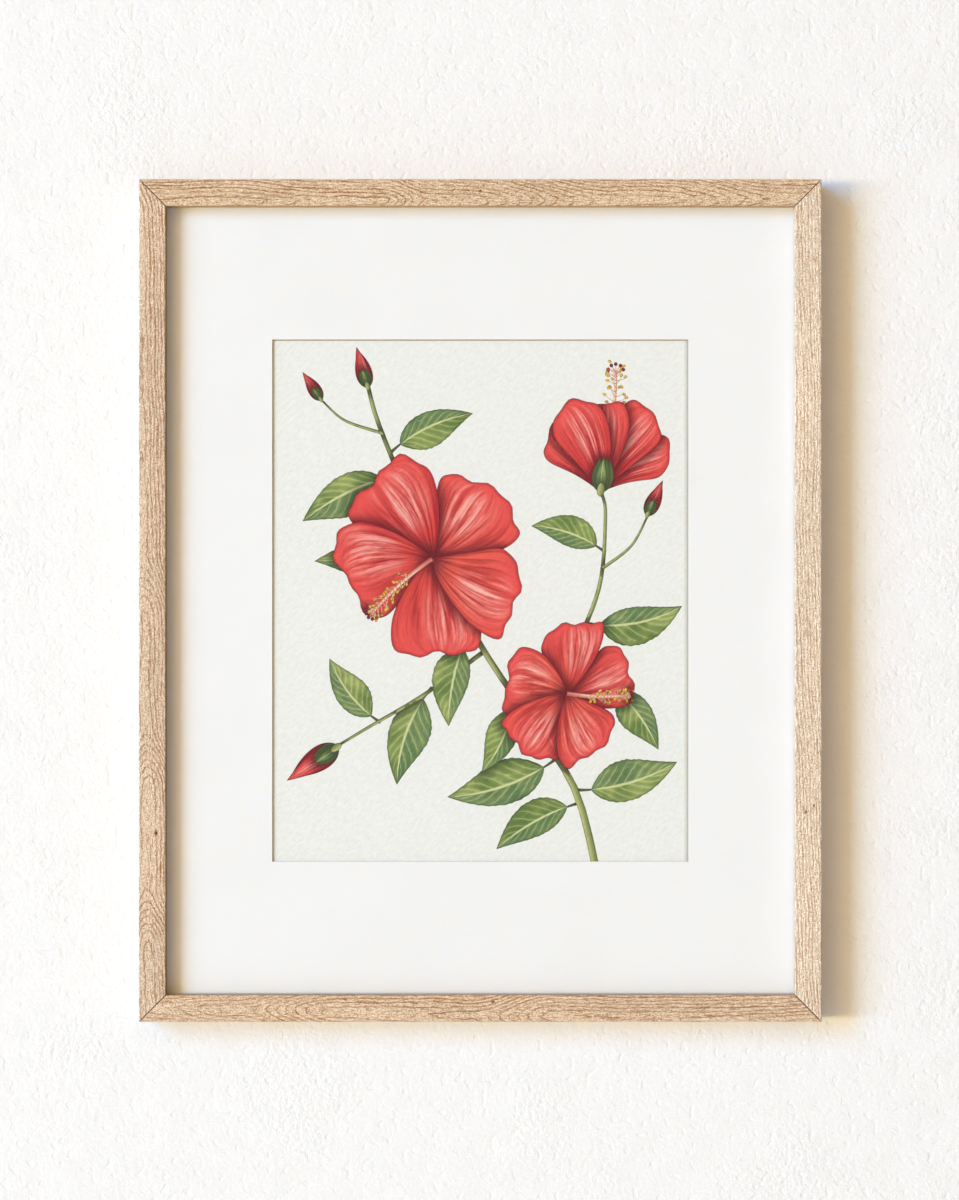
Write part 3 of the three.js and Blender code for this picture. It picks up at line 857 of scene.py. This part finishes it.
class Shape:
    """One painted shape: a blade with a spine, a width at each of its points, and a tilt."""

    def __init__(self, paint, spine, widths, tone=0.5, frill=0.0, tilt=None, seed=0.0):
        self.paint = paint
        self.spine = spine
        self.tone = tone
        self.seed = seed
        steps = norm(np.diff(spine, axis=0), axis=1)
        self.share = np.concatenate([[0], np.cumsum(steps)]) / steps.sum()
        left, right = widths
        self.left = np.array([left(t) for t in self.share])
        self.right = np.array([right(t) for t in self.share])
        slope = np.gradient(spine, axis=0)
        normal = np.stack([-slope[:, 1], slope[:, 0]], axis=1)
        normal /= norm(normal, axis=1)[:, None]
        right_side = spine - normal * self.right[:, None]
        left_side = spine + normal * self.left[:, None]
        rim = np.concatenate([right_side, left_side[::-1]])
        rim = rim[norm(rim - np.roll(rim, 1, axis=0), axis=1) > 0.05]
        away = rim - spine[0]
        angle = np.arctan2(away[:, 1], away[:, 0])
        reach = norm(away, axis=1) / steps.sum()
        wave = np.sin(angle * 9 + seed * 5) + 0.6 * np.sin(angle * 21 + seed * 11)
        rim = spine[0] + away * (1 + frill * wave * reach ** 3)[:, None]
        self.centre, self.tilt = tilt or (spine[0], np.identity(2))
        self.flat = inv(self.tilt)
        self.rim = (rim - self.centre) @ self.tilt.T + self.centre
        self.low = self.rim.min(axis=0)
        self.high = self.rim.max(axis=0)

    def near(self, points, margin=0.0):
        """Which points are in this shape's box, widened by margin."""
        return ((points > self.low - margin) & (points < self.high + margin)).all(axis=1)

    def holds(self, points):
        """Which points are inside the rim."""
        inside = self.near(points)
        if not inside.any():
            return inside
        x, y = points[inside].T[:, :, None]
        x0, y0 = self.rim.T
        x1, y1 = np.roll(self.rim, -1, axis=0).T
        rise = np.where(y0 == y1, 1.0, y1 - y0)
        crossed = ((y0 > y) != (y1 > y)) & (x < (x1 - x0) * (y - y0) / rise + x0)
        inside[inside] = crossed.sum(axis=1) % 2 == 1
        return inside

    def from_rim(self, points):
        """How far each point is from the rim, in mm."""
        return to_line(points, np.concatenate([self.rim, self.rim[:1]]))[0]

    def blade(self, points):
        """Each point's share along the spine, and its place across, from -1 to 1 at the rims."""
        flat = (points - self.centre) @ self.flat.T + self.centre
        _, share, side = to_line(flat, self.spine, self.share)
        left, right = [np.interp(share, self.share, width) for width in (self.left, self.right)]
        width = np.maximum(np.where(side > 0, left, right), 0.2)
        return share, np.clip(side / width, -1.2, 1.2)


def to_line(points, line, marks=None):
    """Each point's distance from a line, its mark there, and the signed distance."""
    best = np.full(len(points), 1e9)
    mark = np.zeros(len(points))
    signed = np.zeros(len(points))
    for index in range(len(line) - 1):
        start = line[index]
        step = line[index + 1] - start
        length2 = step @ step
        if length2 < 1e-12:
            continue
        away = points - start
        t = np.clip(away @ step / length2, 0, 1)
        gap = norm(away - t[:, None] * step, axis=1)
        closer = gap < best
        best = np.where(closer, gap, best)
        if marks is not None:
            mark = np.where(closer, marks[index] + t * (marks[index + 1] - marks[index]), mark)
            turn = step[0] * away[:, 1] - step[1] * away[:, 0]
            signed = np.where(closer, np.sign(turn) * gap, signed)
    return best, mark, signed


# Outlines, as the half width at each share of the length

def even(profile, width):
    """The same profile on both sides."""
    def side(t):
        return width * profile(t)
    return side, side


def petal_profile(t):
    """Narrow at the base and broad and round at the far end."""
    return t ** 0.8 * math.sqrt(max(0.0, 1 - t ** 5)) / 0.695


def leaf_profile(t):
    """Round at the base, widest at two fifths, and pointed."""
    return math.sin(math.pi * min(1.0, t) ** 0.72)


def toothed_profile(t):
    """A leaf with small teeth that point to its tip."""
    return leaf_profile(t) * (1 + 0.07 * (1 - (t * 13) % 1))


def bud_profile(t):
    """Full, and pointed at the tip."""
    return math.sin(math.pi * min(1.0, t) ** 0.62) ** 0.9


def stem_profile(t):
    """A stem that thins to its end."""
    return 1 - 0.45 * t


def dot_profile(t):
    """An ellipse."""
    return 2 * math.sqrt(max(0.0, t * (1 - t)))


class Painting:
    """The shapes of the print, from the lowest to the topmost."""

    def __init__(self, seed):
        self.shapes = []
        self.random = random.Random(seed)
        self.between = self.random.uniform

    def add(self, paint, spine, widths, **facts):
        """Paints one more shape over the others."""
        self.shapes.append(Shape(paint, spine, widths, seed=self.random.random(), **facts))

    def stem(self, points, width):
        """A stem of this width through these points."""
        tone = self.between(0.3, 0.7)
        self.add("stem", through(points), even(stem_profile, width / 2), tone=tone)

    def leaf(self, base, heading, length, width, bend=0.0, tone=0.5):
        """A toothed leaf on a short stalk, with one half narrower."""
        stalk = arc(base, heading - bend * 0.2, length * 0.14, bend * 0.2, 6)
        self.add("stem", stalk, even(stem_profile, 1.1), tone=0.5)
        side = self.random.choice((0.72, 1.0))
        widths = (
            lambda t: toothed_profile(t) * width / 2 * side,
            lambda t: toothed_profile(t) * width / 2 * (1.72 - side),
        )
        self.add("leaf", arc(stalk[-1], heading, length * 0.86, bend, 52), widths, tone=tone)

    def calyx(self, base, heading, length, width):
        """Green sepals at the base of a bud or flower, on a small swelling."""
        for side, lean in ((-1, 30), (1, 30), (-1, 10), (1, 8)):
            spine = arc(base, heading + side * lean, length, -side * lean * 1.5)
            self.add("leaf", spine, even(bud_profile, width), tone=self.between(0.3, 0.8))
        swelling = arc(base - turned(heading, width * 0.9), heading, width * 2.4)
        self.add("stem", swelling, even(dot_profile, width * 0.7))

    def bud(self, base, heading, length):
        """A closed bud of furled petals."""
        for side, lean, share in ((1, 9, 0.92), (-1, 10, 0.97), (1, 1, 1.0)):
            spine = arc(base, heading + side * lean, length * share, -side * lean * 2.2)
            tone = self.between(0.35, 0.9)
            self.add("petal", spine, even(bud_profile, length * 0.17), tone=tone)
        self.calyx(base, heading, length * 0.46, length * 0.085)

    def anthers(self, column, first, count, reach):
        """Yellow anthers on threads, round the column from the share first to its end."""
        for index in range(count):
            share = first + (0.97 - first) * index / (count - 1)
            place = int(share * (len(column) - 1))
            way = column[place] - column[place - 1]
            heading = math.degrees(math.atan2(way[1], way[0]))
            side = 1 if index % 2 else -1
            thread_heading = heading + side * self.between(35, 95)
            length = reach * (1 + self.between(-0.35, 0.35))
            thread = arc(column[place], thread_heading, length, -side * 35, 5)
            self.add("cream", thread, even(stem_profile, 0.3))
            dot_heading = thread_heading + self.between(-50, 50)
            dot = arc(thread[-1] - turned(thread_heading, 0.9), dot_heading, 2.5, 0, 8)
            self.add("gold", dot, even(dot_profile, 0.95), tone=self.random.random())

    def column(self, base, heading, length, bend):
        """A flower's long pale column, with its anthers and five red tips."""
        spine = arc(base, heading, length, bend)
        self.add("cream", spine, even(stem_profile, 1.35), tone=0.8)
        self.anthers(spine, 0.42, 30, length * 0.1)
        end = heading + bend
        for lean in (-60, -30, 0, 28, 58):
            style = arc(spine[-1], end + lean, length * 0.085, lean * 0.4, 5)
            self.add("cream", style, even(stem_profile, 0.32), tone=0.2)
            tip = arc(style[-1] - turned(end + lean), end + lean, 2.4, 0, 8)
            self.add("petal", tip, even(dot_profile, 1.15), tone=0.9)

    def open_flower(self, centre, radius, turn, tilt, column_heading):
        """Five broad frilled petals round a column, seen from the front at a tilt."""
        for index in range(5):
            heading = turn + 72 * index + self.between(-5, 5)
            bend = self.between(10, 24)
            spine = arc(centre, heading - bend / 2, radius * (1 + self.between(-0.04, 0.04)), bend, 34)
            widths = even(petal_profile, radius * self.between(0.47, 0.54))
            tone = self.between(0.15, 0.75)
            self.add("petal", spine, widths, tone=tone, frill=0.035, tilt=tilt)
        self.column(centre, column_heading, radius * 0.8, 16)

    def side_flower(self, base, heading, length):
        """A trumpet of petals seen from the side, in its calyx."""
        petals = ((-46, -26, 0.86), (44, 24, 0.86), (-22, -16, 1.0), (2, 6, 0.93), (24, 22, 0.97))
        for index, (lean, bend, share) in enumerate(petals):
            if index == 2:
                self.column(base + turned(heading, length * 0.3), heading - 6, length * 0.95, 14)
            spine = arc(base, heading + lean * 0.55, length * share, lean * 0.5 + bend, 30)
            widths = even(petal_profile, length * self.between(0.25, 0.3))
            self.add("petal", spine, widths, tone=self.between(0.3, 0.85), frill=0.03)
        self.calyx(base, heading, length * 0.36, length * 0.06)


def tilted(centre, heading, share):
    """A tilt about centre that shortens what lies square to heading to this share."""
    across = turned(heading + 90)
    return np.array(centre, float), np.identity(2) - (1 - share) * np.outer(across, across)


def compose():
    """A branch of large red flowers that arches from the lower right to the upper left."""
    art = Painting(5)
    main = [(74, -176), (60, -120), (34, -78), (4, -34), (-26, 20), (-48, 72), (-64, 112), (-70, 134)]
    right = [(30, -72), (56, -34), (74, 8), (78, 52), (76, 66)]
    left = [(2, -32), (-34, -58), (-68, -78), (-88, -90)]
    for leaf in (
        ((-52, 78), 196, 66, 30, 24, 0.3),
        ((-56, 92), 38, 58, 25, -30, 0.7),
        ((66, -14), -4, 62, 27, 34, 0.4),
        ((78, 30), 148, 50, 22, 30, 0.8),
        ((-30, -54), 236, 66, 29, 34, 0.6),
        ((-62, -76), 142, 52, 23, -32, 0.25),
        ((48, -98), 212, 74, 31, -30, 0.45),
        ((62, -126), 200, 60, 25, 22, 0.85),
        ((60, -118), 4, 66, 29, 28, 0.35),
        ((20, -60), 262, 52, 22, -34, 0.7),
        ((-20, 8), 158, 86, 34, 26, 0.55),
    ):
        art.leaf(*leaf)
    for points, width in ((left, 3.0), (right, 3.6), (main, 4.8)):
        art.stem(points, width)
    art.bud((-89, -91), 214, 38)
    art.bud((-70, 133), 106, 26)
    art.stem([(-60, 104), (-84, 112), (-98, 124)], 2.2)
    art.bud((-99, 125), 124, 21)
    art.stem([(76, 20), (94, 34), (104, 52)], 2.2)
    art.bud((104, 53), 66, 24)
    art.side_flower((75, 68), 82, 60)
    art.leaf((80, -52), 318, 52, 24, -26, 0.6)
    art.open_flower((54, -58), 47, 18, tilted((54, -58), 60, 0.82), 350)
    art.leaf((-8, -22), 250, 58, 26, 20, 0.4)
    art.open_flower((-30, 26), 62, 52, tilted((-30, 26), 130, 0.9), 214)
    return art.shapes


def top_shape(points, shapes):
    """The topmost shape's number at each point, or -1 for bare paper."""
    top = np.full(len(points), -1)
    for index, shape in enumerate(shapes):
        top[shape.holds(points)] = index
    return top


def inner_points(shapes):
    """Points just inside each rim, and on a grid within the shapes."""
    kept = []
    rows = np.arange(-HALF_SHEET[1], HALF_SHEET[1], GRID_MM * math.sqrt(0.75))
    columns = np.arange(-HALF_SHEET[0], HALF_SHEET[0], GRID_MM)
    grid = np.array([(x + GRID_MM / 2 * (row % 2), y) for row, y in enumerate(rows) for x in columns])
    top = top_shape(grid, shapes)
    for index, shape in enumerate(shapes):
        own = grid[top == index]
        kept.append(own[shape.from_rim(own) > INSET_MM * 1.5])
        step = np.roll(shape.rim, -1, axis=0) - np.roll(shape.rim, 1, axis=0)
        inward = np.stack([-step[:, 1], step[:, 0]], axis=1) / norm(step, axis=1)[:, None]
        inset = shape.rim + inward * INSET_MM
        inset = inset[shape.holds(inset) & (shape.from_rim(inset) > INSET_MM * 0.6)]
        kept.append(inset[top_shape(inset, shapes) == index])
    return np.concatenate(kept)


def cut_sheet(shapes):
    """The front cut along every rim: points, triangles, and each one's top shape."""
    points = list(SHEET_CORNERS)
    faces = [[0, 1, 2, 3]]
    for shape in shapes:
        faces.append(list(range(len(points), len(points) + len(shape.rim))))
        points.extend(shape.rim)
    points.extend(inner_points(shapes))
    points = [Vector(point) for point in points]
    points, _, triangles, _, _, held_by = delaunay_2d_cdt(points, [], faces, 1, 1e-5, True)
    return np.array(points), np.array(triangles), np.array([max(held) - 1 for held in held_by])


def paint_facts(points, triangles, owner, shapes):
    """What BLADE_FACTS lists, for each corner of each triangle."""
    facts = np.full((len(triangles), 3, 6), FAR_MM)
    facts[:, :, :3] = 0
    for index, shape in enumerate(shapes):
        own = owner == index
        if not own.any():
            continue
        used, back = np.unique(triangles[own], return_inverse=True)
        places = points[used]
        along, across = shape.blade(places)
        cover = np.full(len(places), FAR_MM)
        for above in shapes[index + 1:]:
            if above.paint in ("gold", "cream"):
                continue
            close = above.near(places, SHADE_MM)
            if close.any():
                cover[close] = np.minimum(cover[close], above.from_rim(places[close]))
        rim = shape.from_rim(places)
        seed = np.full_like(rim, shape.seed)
        tone = np.full_like(rim, shape.tone)
        found = np.stack([along, across, seed, rim, cover, tone], axis=1)
        facts[own] = found[back].reshape(-1, 3, 6)
    return facts


def sheet_mesh(points, triangles):
    """The sheet as a closed slab: its cut front, and a plain back and edges."""
    front = [int(np.argmin(norm(points - corner, axis=1))) for corner in SHEET_CORNERS]
    back = [len(points) + index for index in range(4)]
    places = [(x, SHEET_LOW.y, z) for x, z in points] + [(x, SHEET_HIGH.y, z) for x, z in SHEET_CORNERS]
    vertices = [(MIDDLE.x + x * MM, y, MIDDLE.z + z * MM) for x, y, z in places]
    edges = [(front[i], back[i], back[(i + 1) % 4], front[(i + 1) % 4]) for i in range(4)]
    return vertices, triangles.tolist() + [back[::-1]] + edges


def map_sheet(mesh, painted):
    """Maps the front, and the back and edges in a strip beside it."""
    layer = mesh.uv_layers.new(name="OFBake")
    for polygon in mesh.polygons:
        for loop in polygon.loop_indices:
            place = mesh.vertices[mesh.loops[loop].vertex_index].co
            across = ((place.x - MIDDLE.x) / MM / HALF_SHEET[0] + 1) / 2
            up = ((place.z - MIDDLE.z) / MM / HALF_SHEET[1] + 1) / 2
            if polygon.index < painted:
                layer.data[loop].uv = (0.002 + across * 0.95, 0.002 + up * 0.996)
            else:
                layer.data[loop].uv = (0.96 + across * 0.03, 0.01 + up * 0.98)


PAINTS = {
    "paper": drawing_paper,
    "petal": petal_paint,
    "leaf": leaf_paint,
    "stem": stem_paint,
    "gold": gold_paint,
    "cream": cream_paint,
}


def painted_sheet():
    """The print: a sheet cut along the painted shapes, each face in its own paint."""
    shapes = compose()
    points, triangles, owner = cut_sheet(shapes)
    facts = paint_facts(points, triangles, owner, shapes)
    vertices, faces = sheet_mesh(points, triangles)
    sheet = new_object("painted_sheet", vertices, faces, *[make() for make in PAINTS.values()])
    mesh = sheet.data
    order = list(PAINTS)
    numbers = [order.index(shapes[index].paint) if index >= 0 else 0 for index in owner]
    mesh.polygons.foreach_set("material_index", numbers + [0] * (len(faces) - len(numbers)))
    for number, name in enumerate(BLADE_FACTS):
        values = np.zeros((len(mesh.loops), 3), np.float32)
        values[:len(triangles) * 3] = facts[:, :, number * 3:number * 3 + 3].reshape(-1, 3)
        mesh.attributes.new(name, "FLOAT_VECTOR", "CORNER").data.foreach_set("vector", values.ravel())
    map_sheet(mesh, len(triangles))
    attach(sheet, "frame")
    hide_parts("print_sheet")


make_camera()
light_room()
make_room()
dress_nodes()
painted_sheet()
